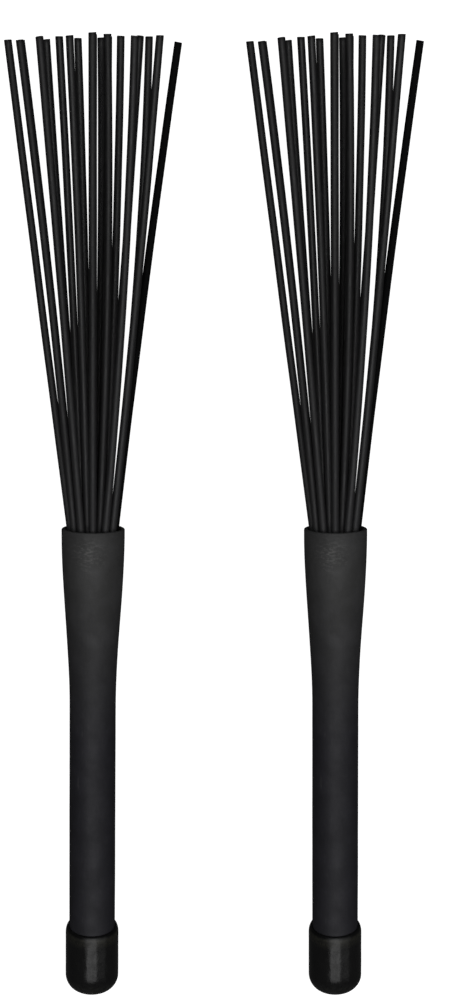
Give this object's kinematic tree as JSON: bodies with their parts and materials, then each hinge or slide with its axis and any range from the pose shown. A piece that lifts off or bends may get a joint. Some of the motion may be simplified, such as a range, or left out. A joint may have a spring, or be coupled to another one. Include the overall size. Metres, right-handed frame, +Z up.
{
  "type": "drum brushes",
  "caption": "Pair of drum brushes with rubber grips that flare at the mouth, domed end caps and fans of stiff plastic rods that flex.",
  "frame": {"origin": "on the table under the middle of the pair's box", "axes": "+Y along the brushes from the butts to the rod tips, +X from the left brush to the right one, +Z up from the table"},
  "size_m": [0.1284, 0.306, 0.0424],
  "materials": {
    "grip_rubber": "matte, lightly scuffed",
    "cap_vinyl": "glossy dipped vinyl",
    "rod_plastic": "satin extruded plastic",
    "tube_aluminium": "drawn, satin",
    "moulded_plastic": "moulded, satin",
    "pin_steel": "ground"
  },
  "bodies": {
    "left_handle": {"left_grip_sleeve": "grip_rubber", "left_handle_tube": "tube_aluminium", "left_tube_plug": "moulded_plastic", "left_end_cap": "cap_vinyl", "left_bristle_holder": "moulded_plastic", "left_retaining_pin": "pin_steel"},
    "right_handle": {"right_grip_sleeve": "grip_rubber", "right_handle_tube": "tube_aluminium", "right_tube_plug": "moulded_plastic", "right_end_cap": "cap_vinyl", "right_bristle_holder": "moulded_plastic", "right_retaining_pin": "pin_steel"},
    "left_rod_outer_1": {"left_rod_outer_1": "rod_plastic"},
    "left_rod_middle": {"left_rod_middle": "rod_plastic"},
    "left_rod_inner_1": {"left_rod_inner_1": "rod_plastic"},
    "left_rod_inner_2": {"left_rod_inner_2": "rod_plastic"},
    "left_rod_inner_3": {"left_rod_inner_3": "rod_plastic"},
    "left_rod_inner_4": {"left_rod_inner_4": "rod_plastic"},
    "left_rod_inner_5": {"left_rod_inner_5": "rod_plastic"},
    "left_rod_inner_6": {"left_rod_inner_6": "rod_plastic"},
    "left_rod_outer_2": {"left_rod_outer_2": "rod_plastic"},
    "left_rod_outer_3": {"left_rod_outer_3": "rod_plastic"},
    "left_rod_outer_4": {"left_rod_outer_4": "rod_plastic"},
    "left_rod_outer_5": {"left_rod_outer_5": "rod_plastic"},
    "left_rod_outer_6": {"left_rod_outer_6": "rod_plastic"},
    "left_rod_outer_7": {"left_rod_outer_7": "rod_plastic"},
    "left_rod_outer_8": {"left_rod_outer_8": "rod_plastic"},
    "left_rod_outer_9": {"left_rod_outer_9": "rod_plastic"},
    "left_rod_outer_10": {"left_rod_outer_10": "rod_plastic"},
    "left_rod_outer_11": {"left_rod_outer_11": "rod_plastic"},
    "left_rod_outer_12": {"left_rod_outer_12": "rod_plastic"},
    "right_rod_outer_1": {"right_rod_outer_1": "rod_plastic"},
    "right_rod_middle": {"right_rod_middle": "rod_plastic"},
    "right_rod_inner_1": {"right_rod_inner_1": "rod_plastic"},
    "right_rod_inner_2": {"right_rod_inner_2": "rod_plastic"},
    "right_rod_inner_3": {"right_rod_inner_3": "rod_plastic"},
    "right_rod_inner_4": {"right_rod_inner_4": "rod_plastic"},
    "right_rod_inner_5": {"right_rod_inner_5": "rod_plastic"},
    "right_rod_inner_6": {"right_rod_inner_6": "rod_plastic"},
    "right_rod_outer_2": {"right_rod_outer_2": "rod_plastic"},
    "right_rod_outer_3": {"right_rod_outer_3": "rod_plastic"},
    "right_rod_outer_4": {"right_rod_outer_4": "rod_plastic"},
    "right_rod_outer_5": {"right_rod_outer_5": "rod_plastic"},
    "right_rod_outer_6": {"right_rod_outer_6": "rod_plastic"},
    "right_rod_outer_7": {"right_rod_outer_7": "rod_plastic"},
    "right_rod_outer_8": {"right_rod_outer_8": "rod_plastic"},
    "right_rod_outer_9": {"right_rod_outer_9": "rod_plastic"},
    "right_rod_outer_10": {"right_rod_outer_10": "rod_plastic"},
    "right_rod_outer_11": {"right_rod_outer_11": "rod_plastic"},
    "right_rod_outer_12": {"right_rod_outer_12": "rod_plastic"}
  },
  "joints": [
    {"name": "right_brush_apart", "type": "slide", "parent": "left_handle", "child": "right_handle", "axis": [1, 0, 0], "range_m": [0, 0.1]},
    {"name": "left_rods_flex", "type": "hinge", "parent": "left_handle", "child": "left_rod_outer_1", "pos_m": [-0.03782, 0.01856, 0.02398], "axis": [1, 0, 0], "range_deg": [0, 14], "stiffness_Nm_per_rad": 0.05, "deforming": ["left_rod_outer_1"]},
    {"name": "left_rod_middle_flex", "type": "hinge", "parent": "left_handle", "child": "left_rod_middle", "pos_m": [-0.03819, 0.01891, 0.0157], "axis": [1, 0, 0], "range_deg": [0, 14], "stiffness_Nm_per_rad": 0.05, "deforming": ["left_rod_middle"]},
    {"name": "left_rod_inner_1_flex", "type": "hinge", "parent": "left_handle", "child": "left_rod_inner_1", "pos_m": [-0.03602, 0.01874, 0.01924], "axis": [1, 0, 0], "range_deg": [0, 14], "stiffness_Nm_per_rad": 0.05, "deforming": ["left_rod_inner_1"]},
    {"name": "left_rod_inner_2_flex", "type": "hinge", "parent": "left_handle", "child": "left_rod_inner_2", "pos_m": [-0.03427, 0.01889, 0.01532], "axis": [1, 0, 0], "range_deg": [0, 14], "stiffness_Nm_per_rad": 0.05, "deforming": ["left_rod_inner_2"]},
    {"name": "left_rod_inner_3_flex", "type": "hinge", "parent": "left_handle", "child": "left_rod_inner_3", "pos_m": [-0.03633, 0.01906, 0.01168], "axis": [1, 0, 0], "range_deg": [0, 14], "stiffness_Nm_per_rad": 0.05, "deforming": ["left_rod_inner_3"]},
    {"name": "left_rod_inner_4_flex", "type": "hinge", "parent": "left_handle", "child": "left_rod_inner_4", "pos_m": [-0.04045, 0.0191, 0.01197], "axis": [1, 0, 0], "range_deg": [0, 14], "stiffness_Nm_per_rad": 0.05, "deforming": ["left_rod_inner_4"]},
    {"name": "left_rod_inner_5_flex", "type": "hinge", "parent": "left_handle", "child": "left_rod_inner_5", "pos_m": [-0.04251, 0.01895, 0.01591], "axis": [1, 0, 0], "range_deg": [0, 14], "stiffness_Nm_per_rad": 0.05, "deforming": ["left_rod_inner_5"]},
    {"name": "left_rod_inner_6_flex", "type": "hinge", "parent": "left_handle", "child": "left_rod_inner_6", "pos_m": [-0.04056, 0.01879, 0.01926], "axis": [1, 0, 0], "range_deg": [0, 14], "stiffness_Nm_per_rad": 0.05, "deforming": ["left_rod_inner_6"]},
    {"name": "left_rod_outer_2_flex", "type": "hinge", "parent": "left_handle", "child": "left_rod_outer_2", "pos_m": [-0.03316, 0.01857, 0.02249], "axis": [1, 0, 0], "range_deg": [0, 14], "stiffness_Nm_per_rad": 0.05, "deforming": ["left_rod_outer_2"]},
    {"name": "left_rod_outer_3_flex", "type": "hinge", "parent": "left_handle", "child": "left_rod_outer_3", "pos_m": [-0.03016, 0.01866, 0.01962], "axis": [1, 0, 0], "range_deg": [0, 14], "stiffness_Nm_per_rad": 0.05, "deforming": ["left_rod_outer_3"]},
    {"name": "left_rod_outer_4_flex", "type": "hinge", "parent": "left_handle", "child": "left_rod_outer_4", "pos_m": [-0.0286, 0.01885, 0.01486], "axis": [1, 0, 0], "range_deg": [0, 14], "stiffness_Nm_per_rad": 0.05, "deforming": ["left_rod_outer_4"]},
    {"name": "left_rod_outer_5_flex", "type": "hinge", "parent": "left_handle", "child": "left_rod_outer_5", "pos_m": [-0.03116, 0.01906, 0.0105], "axis": [1, 0, 0], "range_deg": [0, 14], "stiffness_Nm_per_rad": 0.05, "deforming": ["left_rod_outer_5"]},
    {"name": "left_rod_outer_6_flex", "type": "hinge", "parent": "left_handle", "child": "left_rod_outer_6", "pos_m": [-0.03347, 0.01919, 0.00808], "axis": [1, 0, 0], "range_deg": [0, 14], "stiffness_Nm_per_rad": 0.05, "deforming": ["left_rod_outer_6"]},
    {"name": "left_rod_outer_7_flex", "type": "hinge", "parent": "left_handle", "child": "left_rod_outer_7", "pos_m": [-0.03814, 0.01928, 0.0072], "axis": [1, 0, 0], "range_deg": [0, 14], "stiffness_Nm_per_rad": 0.05, "deforming": ["left_rod_outer_7"]},
    {"name": "left_rod_outer_8_flex", "type": "hinge", "parent": "left_handle", "child": "left_rod_outer_8", "pos_m": [-0.04367, 0.01928, 0.00854], "axis": [1, 0, 0], "range_deg": [0, 14], "stiffness_Nm_per_rad": 0.05, "deforming": ["left_rod_outer_8"]},
    {"name": "left_rod_outer_9_flex", "type": "hinge", "parent": "left_handle", "child": "left_rod_outer_9", "pos_m": [-0.04667, 0.01918, 0.0117], "axis": [1, 0, 0], "range_deg": [0, 14], "stiffness_Nm_per_rad": 0.05, "deforming": ["left_rod_outer_9"]},
    {"name": "left_rod_outer_10_flex", "type": "hinge", "parent": "left_handle", "child": "left_rod_outer_10", "pos_m": [-0.04778, 0.019, 0.01625], "axis": [1, 0, 0], "range_deg": [0, 14], "stiffness_Nm_per_rad": 0.05, "deforming": ["left_rod_outer_10"]},
    {"name": "left_rod_outer_11_flex", "type": "hinge", "parent": "left_handle", "child": "left_rod_outer_11", "pos_m": [-0.04623, 0.01881, 0.0202], "axis": [1, 0, 0], "range_deg": [0, 14], "stiffness_Nm_per_rad": 0.05, "deforming": ["left_rod_outer_11"]},
    {"name": "left_rod_outer_12_flex", "type": "hinge", "parent": "left_handle", "child": "left_rod_outer_12", "pos_m": [-0.04325, 0.01867, 0.02278], "axis": [1, 0, 0], "range_deg": [0, 14], "stiffness_Nm_per_rad": 0.05, "deforming": ["left_rod_outer_12"]},
    {"name": "right_rods_flex", "type": "hinge", "parent": "right_handle", "child": "right_rod_outer_1", "pos_m": [0.03739, 0.01856, 0.02397], "axis": [1, 0, 0], "range_deg": [0, 14], "stiffness_Nm_per_rad": 0.05, "deforming": ["right_rod_outer_1"]},
    {"name": "right_rod_middle_flex", "type": "hinge", "parent": "right_handle", "child": "right_rod_middle", "pos_m": [0.0378, 0.01891, 0.0157], "axis": [1, 0, 0], "range_deg": [0, 14], "stiffness_Nm_per_rad": 0.05, "deforming": ["right_rod_middle"]},
    {"name": "right_rod_inner_1_flex", "type": "hinge", "parent": "right_handle", "child": "right_rod_inner_1", "pos_m": [0.03963, 0.01877, 0.01942], "axis": [1, 0, 0], "range_deg": [0, 14], "stiffness_Nm_per_rad": 0.05, "deforming": ["right_rod_inner_1"]},
    {"name": "right_rod_inner_2_flex", "type": "hinge", "parent": "right_handle", "child": "right_rod_inner_2", "pos_m": [0.04173, 0.01893, 0.01569], "axis": [1, 0, 0], "range_deg": [0, 14], "stiffness_Nm_per_rad": 0.05, "deforming": ["right_rod_inner_2"]},
    {"name": "right_rod_inner_3_flex", "type": "hinge", "parent": "right_handle", "child": "right_rod_inner_3", "pos_m": [0.04002, 0.01909, 0.01187], "axis": [1, 0, 0], "range_deg": [0, 14], "stiffness_Nm_per_rad": 0.05, "deforming": ["right_rod_inner_3"]},
    {"name": "right_rod_inner_4_flex", "type": "hinge", "parent": "right_handle", "child": "right_rod_inner_4", "pos_m": [0.03589, 0.01907, 0.01177], "axis": [1, 0, 0], "range_deg": [0, 14], "stiffness_Nm_per_rad": 0.05, "deforming": ["right_rod_inner_4"]},
    {"name": "right_rod_inner_5_flex", "type": "hinge", "parent": "right_handle", "child": "right_rod_inner_5", "pos_m": [0.03348, 0.0189, 0.01549], "axis": [1, 0, 0], "range_deg": [0, 14], "stiffness_Nm_per_rad": 0.05, "deforming": ["right_rod_inner_5"]},
    {"name": "right_rod_inner_6_flex", "type": "hinge", "parent": "right_handle", "child": "right_rod_inner_6", "pos_m": [0.03511, 0.01876, 0.01902], "axis": [1, 0, 0], "range_deg": [0, 14], "stiffness_Nm_per_rad": 0.05, "deforming": ["right_rod_inner_6"]},
    {"name": "right_rod_outer_2_flex", "type": "hinge", "parent": "right_handle", "child": "right_rod_outer_2", "pos_m": [0.04217, 0.01863, 0.02293], "axis": [1, 0, 0], "range_deg": [0, 14], "stiffness_Nm_per_rad": 0.05, "deforming": ["right_rod_outer_2"]},
    {"name": "right_rod_outer_3_flex", "type": "hinge", "parent": "right_handle", "child": "right_rod_outer_3", "pos_m": [0.04542, 0.01875, 0.02035], "axis": [1, 0, 0], "range_deg": [0, 14], "stiffness_Nm_per_rad": 0.05, "deforming": ["right_rod_outer_3"]},
    {"name": "right_rod_outer_4_flex", "type": "hinge", "parent": "right_handle", "child": "right_rod_outer_4", "pos_m": [0.04743, 0.01896, 0.01576], "axis": [1, 0, 0], "range_deg": [0, 14], "stiffness_Nm_per_rad": 0.05, "deforming": ["right_rod_outer_4"]},
    {"name": "right_rod_outer_5_flex", "type": "hinge", "parent": "right_handle", "child": "right_rod_outer_5", "pos_m": [0.04528, 0.01914, 0.01117], "axis": [1, 0, 0], "range_deg": [0, 14], "stiffness_Nm_per_rad": 0.05, "deforming": ["right_rod_outer_5"]},
    {"name": "right_rod_outer_6_flex", "type": "hinge", "parent": "right_handle", "child": "right_rod_outer_6", "pos_m": [0.0432, 0.01924, 0.00855], "axis": [1, 0, 0], "range_deg": [0, 14], "stiffness_Nm_per_rad": 0.05, "deforming": ["right_rod_outer_6"]},
    {"name": "right_rod_outer_7_flex", "type": "hinge", "parent": "right_handle", "child": "right_rod_outer_7", "pos_m": [0.03864, 0.01928, 0.00724], "axis": [1, 0, 0], "range_deg": [0, 14], "stiffness_Nm_per_rad": 0.05, "deforming": ["right_rod_outer_7"]},
    {"name": "right_rod_outer_8_flex", "type": "hinge", "parent": "right_handle", "child": "right_rod_outer_8", "pos_m": [0.03301, 0.01922, 0.00805], "axis": [1, 0, 0], "range_deg": [0, 14], "stiffness_Nm_per_rad": 0.05, "deforming": ["right_rod_outer_8"]},
    {"name": "right_rod_outer_9_flex", "type": "hinge", "parent": "right_handle", "child": "right_rod_outer_9", "pos_m": [0.02972, 0.01908, 0.01091], "axis": [1, 0, 0], "range_deg": [0, 14], "stiffness_Nm_per_rad": 0.05, "deforming": ["right_rod_outer_9"]},
    {"name": "right_rod_outer_10_flex", "type": "hinge", "parent": "right_handle", "child": "right_rod_outer_10", "pos_m": [0.0282, 0.01888, 0.01534], "axis": [1, 0, 0], "range_deg": [0, 14], "stiffness_Nm_per_rad": 0.05, "deforming": ["right_rod_outer_10"]},
    {"name": "right_rod_outer_11_flex", "type": "hinge", "parent": "right_handle", "child": "right_rod_outer_11", "pos_m": [0.02937, 0.01872, 0.01942], "axis": [1, 0, 0], "range_deg": [0, 14], "stiffness_Nm_per_rad": 0.05, "deforming": ["right_rod_outer_11"]},
    {"name": "right_rod_outer_12_flex", "type": "hinge", "parent": "right_handle", "child": "right_rod_outer_12", "pos_m": [0.0321, 0.01861, 0.02226], "axis": [1, 0, 0], "range_deg": [0, 14], "stiffness_Nm_per_rad": 0.05, "deforming": ["right_rod_outer_12"]}
  ],
  "couplings": [
    {"joint": "left_rod_middle_flex", "follows": "left_rods_flex", "ratio": 1},
    {"joint": "left_rod_inner_1_flex", "follows": "left_rods_flex", "ratio": 1},
    {"joint": "left_rod_inner_2_flex", "follows": "left_rods_flex", "ratio": 1},
    {"joint": "left_rod_inner_3_flex", "follows": "left_rods_flex", "ratio": 1},
    {"joint": "left_rod_inner_4_flex", "follows": "left_rods_flex", "ratio": 1},
    {"joint": "left_rod_inner_5_flex", "follows": "left_rods_flex", "ratio": 1},
    {"joint": "left_rod_inner_6_flex", "follows": "left_rods_flex", "ratio": 1},
    {"joint": "left_rod_outer_2_flex", "follows": "left_rods_flex", "ratio": 1},
    {"joint": "left_rod_outer_3_flex", "follows": "left_rods_flex", "ratio": 1},
    {"joint": "left_rod_outer_4_flex", "follows": "left_rods_flex", "ratio": 1},
    {"joint": "left_rod_outer_5_flex", "follows": "left_rods_flex", "ratio": 1},
    {"joint": "left_rod_outer_6_flex", "follows": "left_rods_flex", "ratio": 1},
    {"joint": "left_rod_outer_7_flex", "follows": "left_rods_flex", "ratio": 1},
    {"joint": "left_rod_outer_8_flex", "follows": "left_rods_flex", "ratio": 1},
    {"joint": "left_rod_outer_9_flex", "follows": "left_rods_flex", "ratio": 1},
    {"joint": "left_rod_outer_10_flex", "follows": "left_rods_flex", "ratio": 1},
    {"joint": "left_rod_outer_11_flex", "follows": "left_rods_flex", "ratio": 1},
    {"joint": "left_rod_outer_12_flex", "follows": "left_rods_flex", "ratio": 1},
    {"joint": "right_rod_middle_flex", "follows": "right_rods_flex", "ratio": 1},
    {"joint": "right_rod_inner_1_flex", "follows": "right_rods_flex", "ratio": 1},
    {"joint": "right_rod_inner_2_flex", "follows": "right_rods_flex", "ratio": 1},
    {"joint": "right_rod_inner_3_flex", "follows": "right_rods_flex", "ratio": 1},
    {"joint": "right_rod_inner_4_flex", "follows": "right_rods_flex", "ratio": 1},
    {"joint": "right_rod_inner_5_flex", "follows": "right_rods_flex", "ratio": 1},
    {"joint": "right_rod_inner_6_flex", "follows": "right_rods_flex", "ratio": 1},
    {"joint": "right_rod_outer_2_flex", "follows": "right_rods_flex", "ratio": 1},
    {"joint": "right_rod_outer_3_flex", "follows": "right_rods_flex", "ratio": 1},
    {"joint": "right_rod_outer_4_flex", "follows": "right_rods_flex", "ratio": 1},
    {"joint": "right_rod_outer_5_flex", "follows": "right_rods_flex", "ratio": 1},
    {"joint": "right_rod_outer_6_flex", "follows": "right_rods_flex", "ratio": 1},
    {"joint": "right_rod_outer_7_flex", "follows": "right_rods_flex", "ratio": 1},
    {"joint": "right_rod_outer_8_flex", "follows": "right_rods_flex", "ratio": 1},
    {"joint": "right_rod_outer_9_flex", "follows": "right_rods_flex", "ratio": 1},
    {"joint": "right_rod_outer_10_flex", "follows": "right_rods_flex", "ratio": 1},
    {"joint": "right_rod_outer_11_flex", "follows": "right_rods_flex", "ratio": 1},
    {"joint": "right_rod_outer_12_flex", "follows": "right_rods_flex", "ratio": 1}
  ]
}
